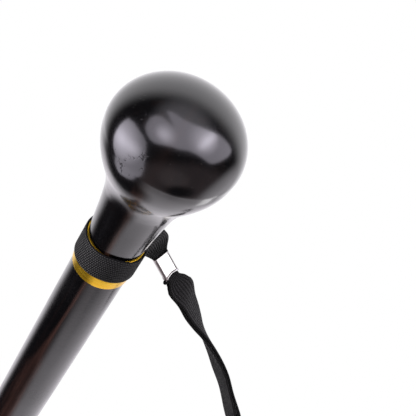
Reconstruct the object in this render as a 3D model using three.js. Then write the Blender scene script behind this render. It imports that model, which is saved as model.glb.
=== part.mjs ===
import * as THREE from 'three';

// Driving dimensions, in millimetres
const overallLength = 915;

// Knob handle and the joint with the shaft
const knobRadius = 25.8;
const knobCrownHeight = 21;
const handleLength = 78;
const neckRadius = 11.5;
const studRadius = 4;
const studLength = 58;
const studTipLength = 5;
const drillRadius = 4.3;
const drillTipLength = 2.4;

// Gold collar over the joint
const collarHeight = 18;
const collarRadius = 11.9;
const collarWall = 0.65;
const collarBevel = 0.4;
const seatGap = 0.2;

// Shaft
const shaftTopRadius = 11.5;
const shaftFootRadius = 8.4;
const shaftFootChamfer = 0.8;

// Rubber ferrule and its washer
const ferruleHeight = 36;
const rimRadius = 11.9;
const rimHeight = 4.6;
const rimLip = 1.1;
const rimGrooveDepth = 0.9;
const rimGrooveHeight = 1.6;
const skirtTopRadius = 11.5;
const flangeRadius = 15;
const flangeHeight = 10.2;
const flangeThickness = 1.8;
const baseRadius = 12.8;
const baseHeight = 6.4;
const baseGrooveDepth = 1;
const treadRadius = 12.2;
const treadDepth = 1.2;
const treadGrooveWidth = 1.3;
const treadPitch = 2.9;
const treadRings = 3;
const soleThickness = 9;
const boreGap = 0.3;
const washerRadius = 8.1;
const washerThickness = 1.5;
const washerCrown = 0.35;

// Webbing of the wrist strap
const tapeThickness = 1.3;
const tapeGap = 0.35;
const bandThickness = 0.75;
const bandHeight = 13;
const bandDrop = 0.2;
const bandSag = 0.6;
const bandGap = 0.3;
const tailReach = 14.2;
const tailRise = 0.4;
const gatheredWidth = 5;
const gatheredThickness = 1.05;
const loopWidth = 10.8;
const loopLength = 158;
const loopOpening = 15;

// Crimp on the strap
const crimpLength = 11.5;
const crimpWidth = 6.6;
const crimpDepth = 4.2;
const crimpCorner = 0.9;
const crimpWall = 0.5;
const crimpSeam = 0.8;
const crimpFlare = 0.25;
const crimpOut = 18.95;
const crimpAside = 21.2;
const crimpDrop = 12;
const pivotRadius = 1.9;

// Angles in degrees
const tailTurn = 138;
const tailSplit = 28;
const sagTurn = 150;
const strapHeading = 97;
const crimpSlope = 43;

// Neck outline below the knob's widest line: shares of its depth and of its swell
const neckShares = [
  [0, 1], [0.08, 0.97], [0.153, 0.895], [0.22, 0.785], [0.288, 0.645], [0.355, 0.49], [0.424, 0.36],
  [0.49, 0.265], [0.559, 0.198], [0.695, 0.122], [0.831, 0.066], [0.93, 0.028], [1, 0],
];

// Strap tables: share of the loop's length, then a share of its width, of its opening,
// its slope below the horizontal or the turn about its own line, both in degrees
const widthShares = [[0, 0.48], [0.012, 0.72], [0.034, 1.12], [0.06, 1.04], [0.09, 0.97], [0.12, 0.98],
  [0.24, 0.92], [0.4, 1]];
const slopeShares = [[0, 43], [0.24, 45], [0.42, 53], [0.64, 57], [1, 88]];
const openingShares = [[0, 0], [0.06, 0.05], [0.11, 0.06], [0.24, 0.01], [0.45, 0.01], [0.62, 0.12],
  [0.74, 0.56], [0.84, 0.94], [0.9, 1], [1, 1]];
const turnShares = [[0, -42], [0.03, -44], [0.08, -24], [0.14, 4], [0.2, 22], [0.25, 18], [0.31, 8],
  [0.42, 4], [1, 0]];

const roundSteps = 48;
const loopSteps = 46;
const uTurnSteps = 12;

// Heights that follow
const topZ = overallLength;
const neckEndZ = topZ - handleLength;
const collarTopZ = neckEndZ - seatGap;
const collarFootZ = collarTopZ - collarHeight;
const spigotTopZ = collarTopZ - collarWall - seatGap;
const spigotRadius = collarRadius - collarWall - seatGap;
const washerFootZ = soleThickness + boreGap;
const shaftEndZ = washerFootZ + washerThickness + boreGap;
const bandZ = collarTopZ - bandDrop - bandHeight / 2;

const degrees = THREE.MathUtils.degToRad;

function material(color, roughness, metalness) {
  return new THREE.MeshStandardMaterial({ color, roughness, metalness });
}

function part(name, geometry, surface) {
  const mesh = new THREE.Mesh(geometry, surface);
  mesh.name = name;
  return mesh;
}

// Turned piece: the profile holds radius and height, and turns about the Z axis
function turned(profile) {
  const points = profile.map(([radius, height]) => new THREE.Vector2(radius, height));
  const geometry = new THREE.LatheGeometry(points, roundSteps);
  return geometry.rotateX(Math.PI / 2);
}

function shaftRadiusAt(height) {
  const share = (height - ferruleHeight) / (collarFootZ - ferruleHeight);
  return shaftFootRadius + (shaftTopRadius - shaftFootRadius) * share;
}

// Smooth value from a table of [share, value] pairs
function readTable(table, share) {
  const last = table.length - 1;
  if (share >= table[last][0]) return table[last][1];
  let row = 0;
  while (table[row + 1][0] < share) row += 1;
  const [from, start] = table[row];
  const [to, end] = table[row + 1];
  const blend = THREE.MathUtils.smoothstep(share, from, to);
  return start + (end - start) * blend;
}

// Closed body through rings of points, each ring with the same count, its ends filled
function skin(rings) {
  const count = rings[0].points.length;
  const positions = [];
  const index = [];
  rings.forEach((ring) => ring.points.forEach((point) => positions.push(point.x, point.y, point.z)));
  for (let row = 0; row + 1 < rings.length; row += 1) {
    for (let side = 0; side < count; side += 1) {
      const a = row * count + side;
      const b = row * count + (side + 1) % count;
      index.push(a, b, b + count, a, b + count, a + count);
    }
  }
  const faces = THREE.ShapeUtils.triangulateShape(rings[0].outline, []);
  const lastRow = (rings.length - 1) * count;
  faces.forEach(([a, b, c]) => index.push(a, c, b, lastRow + a, lastRow + b, lastRow + c));
  const geometry = new THREE.BufferGeometry();
  geometry.setAttribute('position', new THREE.Float32BufferAttribute(positions, 3));
  geometry.setIndex(index);
  if (volumeOf(geometry) < 0) geometry.setIndex(index.reverse());
  geometry.computeVertexNormals();
  return geometry;
}

function volumeOf(geometry) {
  const place = geometry.getAttribute('position');
  const index = geometry.getIndex();
  const corners = [new THREE.Vector3(), new THREE.Vector3(), new THREE.Vector3()];
  let total = 0;
  for (let face = 0; face < index.count; face += 3) {
    corners.forEach((corner, step) => corner.fromBufferAttribute(place, index.getX(face + step)));
    total += corners[0].dot(corners[1].cross(corners[2])) / 6;
  }
  return total;
}

// Ring of an outline drawn across a line: across is the width direction, deep the thickness one
function ring(outline, centre, across, deep) {
  const points = outline.map(({ x, y }) => centre.clone()
    .addScaledVector(across, x)
    .addScaledVector(deep, y));
  return { outline, points };
}

// Section of flat webbing with softened edges
function tapeOutline(width, thickness) {
  const half = width / 2;
  const deep = thickness / 2;
  const edge = deep * 0.45;
  const inset = half - deep * 0.8;
  return [
    [half, -edge], [half, edge], [inset, deep], [-inset, deep],
    [-half, edge], [-half, -edge], [-inset, -deep], [inset, -deep],
  ].map(([x, y]) => new THREE.Vector2(x, y));
}

// Webbing along a list of stations, each with its centre, width direction, width and thickness
function webbing(stations) {
  const rings = stations.map((station, place) => {
    const before = stations[Math.max(place - 1, 0)].centre;
    const after = stations[Math.min(place + 1, stations.length - 1)].centre;
    const along = after.clone().sub(before).normalize();
    const deep = along.clone().cross(station.across).normalize();
    const across = deep.clone().cross(along).normalize();
    return ring(tapeOutline(station.width, station.thickness), station.centre, across, deep);
  });
  return skin(rings);
}

// Directions of the strap: heading seen from above, slope below the horizontal
const headingLine = new THREE.Vector3(Math.cos(degrees(strapHeading)), Math.sin(degrees(strapHeading)), 0);
const sideLine = headingLine.clone().cross(new THREE.Vector3(0, 0, 1));

function strapDirection(slope) {
  const line = headingLine.clone().multiplyScalar(Math.cos(degrees(slope)));
  line.z = -Math.sin(degrees(slope));
  return line;
}

// Width direction of the webbing, turned about its own line from the level side line
function widthDirection(along, turn) {
  const upper = sideLine.clone().cross(along).normalize();
  return sideLine.clone().multiplyScalar(Math.cos(degrees(turn)))
    .addScaledVector(upper, Math.sin(degrees(turn)));
}

const crimpLine = strapDirection(crimpSlope);
const crimpAcross = widthDirection(crimpLine, turnShares[0][1]);
const crimpDeep = crimpLine.clone().cross(crimpAcross).normalize();
const crimpTop = new THREE.Vector3(-crimpAside, crimpOut, bandZ - crimpDrop);
const crimpMouth = crimpTop.clone().addScaledVector(crimpLine, crimpLength);
const loopPivot = crimpMouth.clone().addScaledVector(crimpLine, pivotRadius + bandGap);

function knobHandle() {
  const crown = [];
  const crownSteps = 10;
  for (let step = 0; step < crownSteps; step += 1) {
    const angle = (step / crownSteps) * Math.PI / 2;
    crown.push([knobRadius * Math.sin(angle), topZ - knobCrownHeight * (1 - Math.cos(angle))]);
  }
  const widestZ = topZ - knobCrownHeight;
  const neck = new THREE.SplineCurve(neckShares.map(([depth, swell]) => new THREE.Vector2(
    neckRadius + (knobRadius - neckRadius) * swell,
    widestZ - (widestZ - neckEndZ) * depth,
  )));
  const neckSteps = 26;
  const outline = neck.getPoints(neckSteps).map(({ x, y }) => [x, y]);
  const boreTopZ = spigotTopZ + studLength / 2 + seatGap;
  return turned([
    ...crown,
    ...outline,
    [drillRadius, neckEndZ],
    [drillRadius, boreTopZ],
    [0, boreTopZ + drillTipLength],
  ].reverse());
}

function joiningStud() {
  const middleZ = spigotTopZ;
  const half = studLength / 2;
  const tip = studRadius * 0.35;
  return turned([
    [0, middleZ - half],
    [tip, middleZ - half],
    [studRadius, middleZ - half + studTipLength],
    [studRadius, middleZ + half - studTipLength],
    [tip, middleZ + half],
    [0, middleZ + half],
  ]);
}

function goldCollar() {
  const inner = collarRadius - collarWall;
  const capZ = collarTopZ - collarWall;
  return turned([
    [inner, collarFootZ],
    [collarRadius - collarBevel, collarFootZ],
    [collarRadius, collarFootZ + collarBevel],
    [collarRadius, collarTopZ - collarBevel],
    [collarRadius - collarBevel, collarTopZ],
    [drillRadius, collarTopZ],
    [drillRadius, capZ],
    [inner, capZ],
    [inner, collarFootZ],
  ]);
}

function shaft() {
  const shoulderZ = collarFootZ - seatGap;
  const endRadius = shaftRadiusAt(shaftEndZ);
  const boreFootZ = spigotTopZ - studLength / 2 - seatGap;
  const outline = [
    [0, shaftEndZ],
    [endRadius - shaftFootChamfer, shaftEndZ],
    [endRadius, shaftEndZ + shaftFootChamfer],
  ];
  const lengthSteps = 12;
  for (let step = 1; step <= lengthSteps; step += 1) {
    const height = shaftEndZ + (shoulderZ - shaftEndZ) * (step / lengthSteps);
    outline.push([shaftRadiusAt(height), height]);
  }
  return turned([
    ...outline,
    [spigotRadius, shoulderZ],
    [spigotRadius, spigotTopZ],
    [drillRadius, spigotTopZ],
    [drillRadius, boreFootZ],
    [0, boreFootZ - drillTipLength],
  ]);
}

// Rubber foot: ringed sole, flange, flared skirt, groove and rolled rim
function rubberFerrule() {
  const boreRadius = shaftFootRadius + boreGap;
  const boreFootRadius = washerRadius + boreGap;
  const grooveTopZ = ferruleHeight - rimHeight;
  const grooveFootZ = grooveTopZ - rimGrooveHeight;
  const sole = [[0, 0]];
  for (let step = 0; step < treadRings; step += 1) {
    const inner = treadPitch * (step + 1) + treadGrooveWidth;
    sole.push([inner - treadGrooveWidth, 0], [inner - treadGrooveWidth, treadDepth]);
    sole.push([inner, treadDepth], [inner, 0]);
  }
  const flangeRound = [];
  const flangeSteps = 6;
  for (let step = 0; step <= flangeSteps; step += 1) {
    const angle = -Math.PI / 2 + Math.PI * 0.85 * (step / flangeSteps);
    flangeRound.push([
      flangeRadius - flangeThickness / 2 + (flangeThickness / 2) * Math.cos(angle),
      flangeHeight + (flangeThickness / 2) * Math.sin(angle),
    ]);
  }
  const skirtSteps = 6;
  const skirt = [];
  const skirtFootZ = flangeHeight + flangeThickness / 2;
  for (let step = 1; step <= skirtSteps; step += 1) {
    const share = step / skirtSteps;
    const flare = (1 - share) * (1 - share);
    const spread = flangeRadius - flangeThickness / 2 - skirtTopRadius;
    skirt.push([skirtTopRadius + spread * flare, skirtFootZ + (grooveFootZ - skirtFootZ) * share]);
  }
  const baseGrooveFootZ = baseHeight;
  const baseGrooveTopZ = flangeHeight - flangeThickness / 2;
  return turned([
    ...sole,
    [treadRadius, 0],
    [baseRadius, treadDepth],
    [baseRadius, baseGrooveFootZ - baseGrooveDepth / 2],
    [baseRadius - baseGrooveDepth, baseGrooveFootZ + baseGrooveDepth / 2],
    [baseRadius - baseGrooveDepth, baseGrooveTopZ],
    ...flangeRound,
    ...skirt,
    [skirtTopRadius - rimGrooveDepth, grooveFootZ + rimGrooveHeight * 0.3],
    [skirtTopRadius - rimGrooveDepth, grooveFootZ + rimGrooveHeight * 0.7],
    [rimRadius, grooveTopZ],
    [rimRadius, ferruleHeight - rimLip],
    [rimRadius - rimLip * 0.3, ferruleHeight - rimLip * 0.3],
    [rimRadius - rimLip, ferruleHeight],
    [boreRadius + rimLip, ferruleHeight],
    [boreRadius, ferruleHeight - rimLip],
    [boreRadius, washerFootZ + washerThickness],
    [boreFootRadius, soleThickness],
    [0, soleThickness],
  ]);
}

function ferruleWasher() {
  const topZ = washerFootZ + washerThickness;
  return turned([
    [0, washerFootZ],
    [washerRadius - washerCrown, washerFootZ],
    [washerRadius, washerFootZ + washerCrown],
    [washerRadius, topZ - washerCrown],
    [washerRadius - washerCrown, topZ],
    [0, topZ],
  ]);
}

// Band round the collar: one length of webbing whose two ends leave side by side as a tail,
// gather and pass into the crimp
function strapBand() {
  const ringRadius = collarRadius + bandGap + bandThickness / 2;
  const tailAngle = degrees(tailTurn);
  const splitAngle = degrees(tailSplit);
  const outward = new THREE.Vector3(Math.cos(tailAngle), Math.sin(tailAngle), 0);
  const sideways = new THREE.Vector3(-Math.sin(tailAngle), Math.cos(tailAngle), 0);
  const upright = new THREE.Vector3(0, 0, 1);
  const middle = new THREE.Vector3(0, 0, bandZ);
  const ringPoint = (angle) => new THREE.Vector3(
    ringRadius * Math.cos(angle),
    ringRadius * Math.sin(angle),
    bandZ - bandSag * Math.cos(angle - degrees(sagTurn)),
  );
  const joinPoint = middle.clone().addScaledVector(outward, tailReach);
  joinPoint.z += tailRise;
  const bend = joinPoint.distanceTo(crimpTop) * 0.42;
  const tailCurve = new THREE.CubicBezierCurve3(
    joinPoint,
    joinPoint.clone().addScaledVector(outward, bend),
    crimpTop.clone().addScaledVector(crimpLine, -bend),
    crimpTop,
  );
  const clampEnd = crimpTop.clone().addScaledVector(crimpLine, crimpLength - bandGap);

  // One half of the tail, from the crimp up to the split
  const tailHalf = (hand) => {
    const stations = [];
    const tailSteps = 10;
    const tailPart = (centre, along, share) => {
      const across = upright.clone().lerp(crimpAcross.clone().negate(), share).normalize();
      const deep = along.clone().cross(across).normalize();
      const width = bandHeight + (gatheredWidth - bandHeight) * THREE.MathUtils.smoothstep(share, 0.45, 1);
      const thickness = bandThickness + (gatheredThickness - bandThickness) * share;
      const shift = hand * (thickness + tapeGap) / 2;
      stations.push({ centre: centre.clone().addScaledVector(deep, shift), across, width, thickness });
    };
    tailPart(clampEnd, crimpLine, 1);
    for (let step = 0; step <= tailSteps; step += 1) {
      const share = 1 - step / tailSteps;
      tailPart(tailCurve.getPoint(share), tailCurve.getTangent(share), share);
    }
    return stations;
  };

  // From the split on to the ring, leaving the ring along its own tangent
  const splitHalf = (hand) => {
    const stations = [];
    const splitSteps = 6;
    const angle = tailAngle - hand * splitAngle;
    const start = ringPoint(angle);
    const tangent = new THREE.Vector3(-Math.sin(angle), Math.cos(angle), 0).multiplyScalar(hand);
    const end = joinPoint.clone().addScaledVector(sideways, -hand * (bandThickness + tapeGap) / 2);
    const reach = start.distanceTo(end) * 0.38;
    const curve = new THREE.CubicBezierCurve3(
      start,
      start.clone().addScaledVector(tangent, reach),
      end.clone().addScaledVector(outward, -reach / 2),
      end,
    );
    for (let step = 1; step < splitSteps; step += 1) {
      const centre = curve.getPoint(1 - step / splitSteps);
      stations.push({ centre, across: upright, width: bandHeight, thickness: bandThickness });
    }
    return stations;
  };

  const ringStations = [];
  const ringSteps = 40;
  const sweep = 2 * (Math.PI - splitAngle);
  for (let step = 0; step <= ringSteps; step += 1) {
    const centre = ringPoint(tailAngle - splitAngle - sweep * (step / ringSteps));
    ringStations.push({ centre, across: upright, width: bandHeight, thickness: bandThickness });
  }
  return webbing([
    ...tailHalf(1),
    ...splitHalf(1),
    ...ringStations,
    ...splitHalf(-1).reverse(),
    ...tailHalf(-1).reverse(),
  ]);
}

// Folded metal clip: a flattened tube with its seam at the back and a rolled lip at each end
function crimpSleeve() {
  const cornerSteps = 4;
  const outlineFor = (grow) => {
    const halfWidth = crimpWidth / 2 + grow;
    const halfDepth = crimpDepth / 2 + grow;
    const wallLine = (inset) => {
      const radius = crimpCorner - inset;
      const line = [new THREE.Vector2(-crimpSeam / 2, halfDepth - inset)];
      [[-1, 1, 90], [-1, -1, 180], [1, -1, 270], [1, 1, 0]].forEach(([right, up, from]) => {
        for (let step = 0; step <= cornerSteps; step += 1) {
          const angle = degrees(from + 90 * (step / cornerSteps));
          line.push(new THREE.Vector2(
            right * (halfWidth - crimpCorner) + radius * Math.cos(angle),
            up * (halfDepth - crimpCorner) + radius * Math.sin(angle),
          ));
        }
      });
      line.push(new THREE.Vector2(crimpSeam / 2, halfDepth - inset));
      return line;
    };
    return [...wallLine(0), ...wallLine(crimpWall).reverse()];
  };
  const lip = crimpFlare * 2;
  const places = [
    [0, crimpFlare], [lip * 0.5, crimpFlare * 0.55], [lip, crimpFlare * 0.1], [lip * 1.6, 0],
    [crimpLength - lip * 1.6, 0], [crimpLength - lip, crimpFlare * 0.1],
    [crimpLength - lip * 0.5, crimpFlare * 0.55], [crimpLength, crimpFlare],
  ];
  return skin(places.map(([along, grow]) => ring(
    outlineFor(grow),
    crimpTop.clone().addScaledVector(crimpLine, along),
    crimpAcross,
    crimpDeep,
  )));
}

// Line that the middle of the wrist loop follows: it starts along the crimp and droops to the tip
function loopLine() {
  const lineSteps = 200;
  const stride = loopLength / lineSteps;
  const points = [loopPivot.clone()];
  for (let step = 0; step < lineSteps; step += 1) {
    const share = (step + 0.5) / lineSteps;
    const direction = strapDirection(readTable(slopeShares, share));
    points.push(points[step].clone().addScaledVector(direction, stride));
  }
  return (share) => {
    const place = THREE.MathUtils.clamp(share, 0, 1) * lineSteps;
    const step = Math.min(Math.floor(place), lineSteps - 1);
    const along = strapDirection(readTable(slopeShares, share));
    const point = points[step].clone().lerp(points[step + 1], place - step);
    return { point, along, across: widthDirection(along, readTable(turnShares, share)) };
  };
}

// Wrist loop: webbing that leaves the crimp gathered, runs down, turns and comes back up
function wristLoop() {
  const lineAt = loopLine();
  const turnRadius = (loopOpening + tapeThickness) / 2;
  const straightShare = 1 - turnRadius / loopLength;
  const station = (share, shift, thickness = tapeThickness) => {
    const { point, along, across } = lineAt(share);
    const deep = along.clone().cross(across).normalize();
    const width = loopWidth * readTable(widthShares, share);
    return { centre: point.addScaledVector(deep, shift), across, width, thickness };
  };
  const layer = (hand) => {
    const stations = [];
    const domeSteps = 3;
    for (let step = 1; step <= domeSteps; step += 1) {
      const rise = pivotRadius * Math.cos(degrees(90) * (step / (domeSteps + 1)));
      const spread = Math.sqrt(pivotRadius * pivotRadius - rise * rise);
      const thickness = spread * 0.82 - tapeGap / 2;
      const start = lineAt(0);
      const deep = start.along.clone().cross(start.across).normalize();
      stations.push({
        centre: start.point.clone().addScaledVector(start.along, -rise)
          .addScaledVector(deep, hand * (tapeGap + thickness) / 2),
        across: start.across,
        width: 2 * spread * 0.8,
        thickness,
      });
    }
    for (let step = 0; step <= loopSteps; step += 1) {
      const share = straightShare * (step / loopSteps);
      const opening = tapeGap + (loopOpening - tapeGap) * readTable(openingShares, share);
      stations.push(station(share, hand * (opening + tapeThickness) / 2));
    }
    return stations;
  };
  const turnBack = [];
  for (let step = 1; step < uTurnSteps; step += 1) {
    const angle = Math.PI * (step / uTurnSteps);
    const share = straightShare + (turnRadius * Math.sin(angle)) / loopLength;
    turnBack.push(station(share, turnRadius * Math.cos(angle)));
  }
  return webbing([...layer(1), ...turnBack, ...layer(-1).reverse()]);
}

const lacquer = material(0x0b0a0c, 0.12, 0);
const gold = material(0xd8a32c, 0.22, 1);
const steel = material(0x9a9ca0, 0.35, 1);
const chrome = material(0xe6e4e2, 0.15, 1);
const rubber = material(0x2b2b2d, 0.78, 0);
const weave = material(0x17161a, 0.85, 0);

const walkingStick = new THREE.Group();
walkingStick.add(
  part('knob_handle', knobHandle(), lacquer),
  part('joining_stud', joiningStud(), steel),
  part('gold_collar', goldCollar(), gold),
  part('shaft', shaft(), lacquer.clone()),
  part('strap_band', strapBand(), weave),
  part('crimp_sleeve', crimpSleeve(), chrome),
  part('wrist_loop', wristLoop(), weave.clone()),
  part('rubber_ferrule', rubberFerrule(), rubber),
  part('ferrule_washer', ferruleWasher(), steel.clone()),
);

export default walkingStick;
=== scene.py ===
from math import cos, exp, floor, pi, radians, sin

import bmesh
import bpy
from mathutils import Matrix, Vector, noise


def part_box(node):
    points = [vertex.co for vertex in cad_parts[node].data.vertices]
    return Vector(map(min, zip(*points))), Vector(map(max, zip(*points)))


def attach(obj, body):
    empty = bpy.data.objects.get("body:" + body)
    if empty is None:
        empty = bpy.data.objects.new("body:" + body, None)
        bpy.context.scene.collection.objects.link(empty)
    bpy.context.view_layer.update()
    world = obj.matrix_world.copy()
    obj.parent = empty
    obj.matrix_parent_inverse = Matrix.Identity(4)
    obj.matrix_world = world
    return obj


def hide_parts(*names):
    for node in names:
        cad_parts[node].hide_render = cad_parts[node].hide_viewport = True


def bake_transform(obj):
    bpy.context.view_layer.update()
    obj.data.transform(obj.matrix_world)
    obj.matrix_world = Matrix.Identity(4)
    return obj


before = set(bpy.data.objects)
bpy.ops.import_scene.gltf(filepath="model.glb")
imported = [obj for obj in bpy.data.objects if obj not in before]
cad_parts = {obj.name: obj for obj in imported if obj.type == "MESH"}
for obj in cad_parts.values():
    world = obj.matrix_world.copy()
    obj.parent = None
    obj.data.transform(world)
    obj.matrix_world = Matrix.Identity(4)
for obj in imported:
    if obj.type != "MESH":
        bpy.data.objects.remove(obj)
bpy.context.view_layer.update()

mm = 0.001
scene = bpy.context.scene
upright = Vector((0, 0, 1))

knobLow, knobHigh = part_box("knob_handle")
collarLow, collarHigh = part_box("gold_collar")
shaftLow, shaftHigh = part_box("shaft")
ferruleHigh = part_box("rubber_ferrule")[1]
studLow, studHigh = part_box("joining_stud")

# Shared helpers


def lineOf(heading, height):
    # Unit line: heading from +X towards +Y and height above the level, in degrees
    level = cos(radians(height))
    return Vector((level * cos(radians(heading)), level * sin(radians(heading)), sin(radians(height))))


def squareTo(towards, heading):
    # Frame whose third axis looks along towards, its first one level
    wide = lineOf(heading + 90, 0)
    return Matrix((wide, towards.cross(wide), towards)).transposed().to_4x4()


def addObject(name, mesh, material):
    data = bpy.data.meshes.new(name)
    mesh.to_mesh(data)
    mesh.free()
    data.materials.append(material)
    item = bpy.data.objects.new(name, data)
    scene.collection.objects.link(item)
    return item


def emptyMaterial(name):
    material = bpy.data.materials.new(name)
    material.use_nodes = True
    material.node_tree.nodes.clear()
    return material, material.node_tree


def linkOrSet(socket, value):
    if isinstance(value, bpy.types.NodeSocket):
        socket.id_data.links.new(value, socket)
    else:
        socket.default_value = value


def addNode(tree, kind, inputs=None, **choices):
    item = tree.nodes.new("ShaderNode" + kind)
    for key, value in choices.items():
        setattr(item, key, value)
    for key, value in (inputs or {}).items():
        linkOrSet(item.inputs[key], value)
    return item


def nodeAfter(kind, inputs, **choices):
    # The node goes into the tree that one of its inputs comes from
    tree = next(value.id_data for value in inputs.values() if isinstance(value, bpy.types.NodeSocket))
    return addNode(tree, kind, inputs, **choices).outputs


def mathNode(operation, *values):
    return nodeAfter("Math", dict(enumerate(values)), operation=operation)[0]


def times(first, second):
    return mathNode("MULTIPLY", first, second)


def timesPlus(first, second, added):
    return mathNode("MULTIPLY_ADD", first, second, added)


def measureNode(operation, *vectors):
    return nodeAfter("VectorMath", dict(enumerate(vectors)), operation=operation)["Value"]


def stretched(vector, stretch):
    return nodeAfter("VectorMath", {0: vector, 1: stretch}, operation="MULTIPLY")[0]


def partsOf(vector):
    return nodeAfter("SeparateXYZ", {0: vector})


def rangeNode(value, low, high, toLow=0.0, toHigh=1.0):
    inputs = {"Value": value, "From Min": low, "From Max": high, "To Min": toLow, "To Max": toHigh}
    return nodeAfter("MapRange", inputs, interpolation_type="SMOOTHSTEP")[0]


def noiseNode(vector, scale, detail, roughness=0.5):
    inputs = {"Vector": vector, "Scale": scale, "Detail": detail, "Roughness": roughness}
    return nodeAfter("TexNoise", inputs)[0]


def cellsNode(vector, scale):
    return nodeAfter("TexVoronoi", {"Vector": vector, "Scale": scale})["Distance"]


def mixColours(colour, *layers):
    # Each layer is a share and a colour: sockets 0, 6 and 7 take the share and the two colours
    for share, second in layers:
        item = addNode(share.id_data, "Mix", data_type="RGBA")
        for place, value in zip((0, 6, 7), (share, colour, second)):
            linkOrSet(item.inputs[place], (*value, 1) if isinstance(value, tuple) else value)
        colour = item.outputs[2]
    return colour


def mixShaders(share, first, second):
    return addNode(share.id_data, "MixShader", {0: share, 1: first.outputs[0], 2: second.outputs[0]})


# Camera, floor and light

cameraRig = dict(place=(0.27429, 0, 1.13176), azimuth=85.32, tilt=43.09, roll=34.07,
                 lens=91.16, sensor=36, farthest=40)


def setCamera():
    turned = (Matrix.Rotation(radians(cameraRig["azimuth"]), 4, "Z")
              @ Matrix.Rotation(radians(90 - cameraRig["tilt"]), 4, "X")
              @ Matrix.Rotation(radians(cameraRig["roll"]), 4, "Z"))
    data = bpy.data.cameras.new("closeCamera")
    data.lens = cameraRig["lens"]
    data.sensor_width = cameraRig["sensor"]
    data.clip_end = cameraRig["farthest"]
    camera = bpy.data.objects.new("closeCamera", data)
    camera.matrix_world = Matrix.Translation(cameraRig["place"]) @ turned
    scene.collection.objects.link(camera)
    scene.camera = camera
    scene.view_settings.view_transform = "Standard"


# Two soft lights for the matt surfaces, and one that only gloss sees, for the clip's face
softLights = dict(
    leftLight=dict(aim=(0, 0, 0.879), heading=-55, height=25, distance=0.8,
                   size=(0.6, 0.8), level=1.5, mirrored=False),
    topLight=dict(aim=(0, 0, 0.879), heading=75, height=64, distance=0.9,
                  size=(1.1, 0.7), level=1.5, mirrored=False),
    clipLight=dict(aim=(-0.0217, 0.0258, 0.8127), heading=73.5, height=7.3, distance=0.0576,
                   size=(0.03, 0.03), level=1.4, mirrored=True),
)


def setLights():
    for name, look in softLights.items():
        towards = lineOf(look["heading"], look["height"])
        place = Vector(look["aim"]) + towards * look["distance"]
        data = bpy.data.lights.new(name, "AREA")
        data.shape = "RECTANGLE"
        data.size, data.size_y = look["size"]
        data.energy = look["level"] * pi * data.size * data.size_y
        light = bpy.data.objects.new(name, data)
        light.matrix_world = Matrix.Translation(place) @ squareTo(towards, look["heading"])
        light.visible_camera = False
        light.visible_glossy = look["mirrored"]
        light.visible_diffuse = not look["mirrored"]
        scene.collection.objects.link(light)


# Glowing cards that only gloss sees: corners in millimetres on the card, and spots of more light,
# each with its middle, its reach and what it adds
cardColour = (1, 0.945, 1.08)
cardRim = 0.5
cards = dict(
    sideCard=dict(
        place=(0.05, -0.0866, 0.894), heading=-60, height=0, soft=10, level=1.5,
        corners=[(-33, 30), (-16, 44), (4, 51), (28, 57), (48, 56), (64, 40), (78, 16), (92, -8),
                 (101, -38), (103, -72), (93, -108), (72, -134), (42, -144), (18, -152), (3, -152),
                 (-3, -124), (-9, -92), (-17, -62), (-24, -35), (-28, -8), (-32, 12)],
        spots=[((4, -8), 74, 3.1), ((-8, -12), 30, 1.2), ((16, -2), 30, 1.2), ((42, 8), 34, 1.7)],
    ),
    topCard=dict(
        place=(0, 0, 1.35), heading=-90, height=90, soft=34, level=1.75,
        corners=[(287, -524), (170, -470), (70, -404), (30, -330), (22, -260), (46, -190), (92, -72),
                 (-4, -164), (-67, -216), (-76, -160), (-60, -90), (-49, -30), (-63, 66), (-104, 160),
                 (-152, 243), (-281, 432), (-475, 763), (-650, 1120), (-690, 1290), (-560, 1330),
                 (-364, 1236), (-140, 1110), (74, 977), (150, 890), (192, 805), (215, 640), (223, 483),
                 (240, 330), (272, 204), (340, 104), (375, 0), (425, -90), (473, -178), (520, -280),
                 (515, -370), (470, -430), (400, -480)],
        spots=[((250, -150), 190, 2.6), ((-20, 300), 290, 2.6), ((-160, 322), 120, 1.8),
               ((-70, 306), 120, 1.9), ((20, 300), 120, 1.8), ((100, 300), 100, 1.2)],
    ),
)


def setCard(name, card):
    mesh = bmesh.new()
    face = mesh.faces.new([mesh.verts.new((x * mm, y * mm, 0)) for x, y in card["corners"]])
    glow = mesh.verts.layers.float.new("glow")
    bmesh.ops.inset_region(mesh, faces=[face], thickness=card["soft"] * mm, use_even_offset=True)
    for vert in face.verts:
        vert[glow] = 1.0
    material, tree = emptyMaterial(name)
    place = addNode(tree, "TexCoord").outputs["Object"]
    level = card["level"]
    for (x, y), reach, more in card["spots"]:
        apart = measureNode("DISTANCE", place, (x * mm, y * mm, 0))
        near = rangeNode(apart, 0, reach * mm, 1.0, 0.0)
        level = timesPlus(near, more, level)
    edge = addNode(tree, "Attribute", attribute_name="glow").outputs["Fac"]
    strength = times(rangeNode(edge, 0, 1), level)
    lit = addNode(tree, "Emission", {"Color": (*cardColour, 1), "Strength": strength})
    clear = addNode(tree, "BsdfTransparent")
    # Its rim fades into what lies behind
    both = mixShaders(rangeNode(edge, 0, cardRim), clear, lit)
    addNode(tree, "OutputMaterial", {"Surface": both.outputs[0]})
    panel = addObject(name, mesh, material)
    square = squareTo(lineOf(card["heading"], card["height"]), card["heading"])
    panel.matrix_world = Matrix.Translation(card["place"]) @ square
    panel.visible_camera = False
    panel.visible_diffuse = False
    panel.visible_shadow = False


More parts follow.
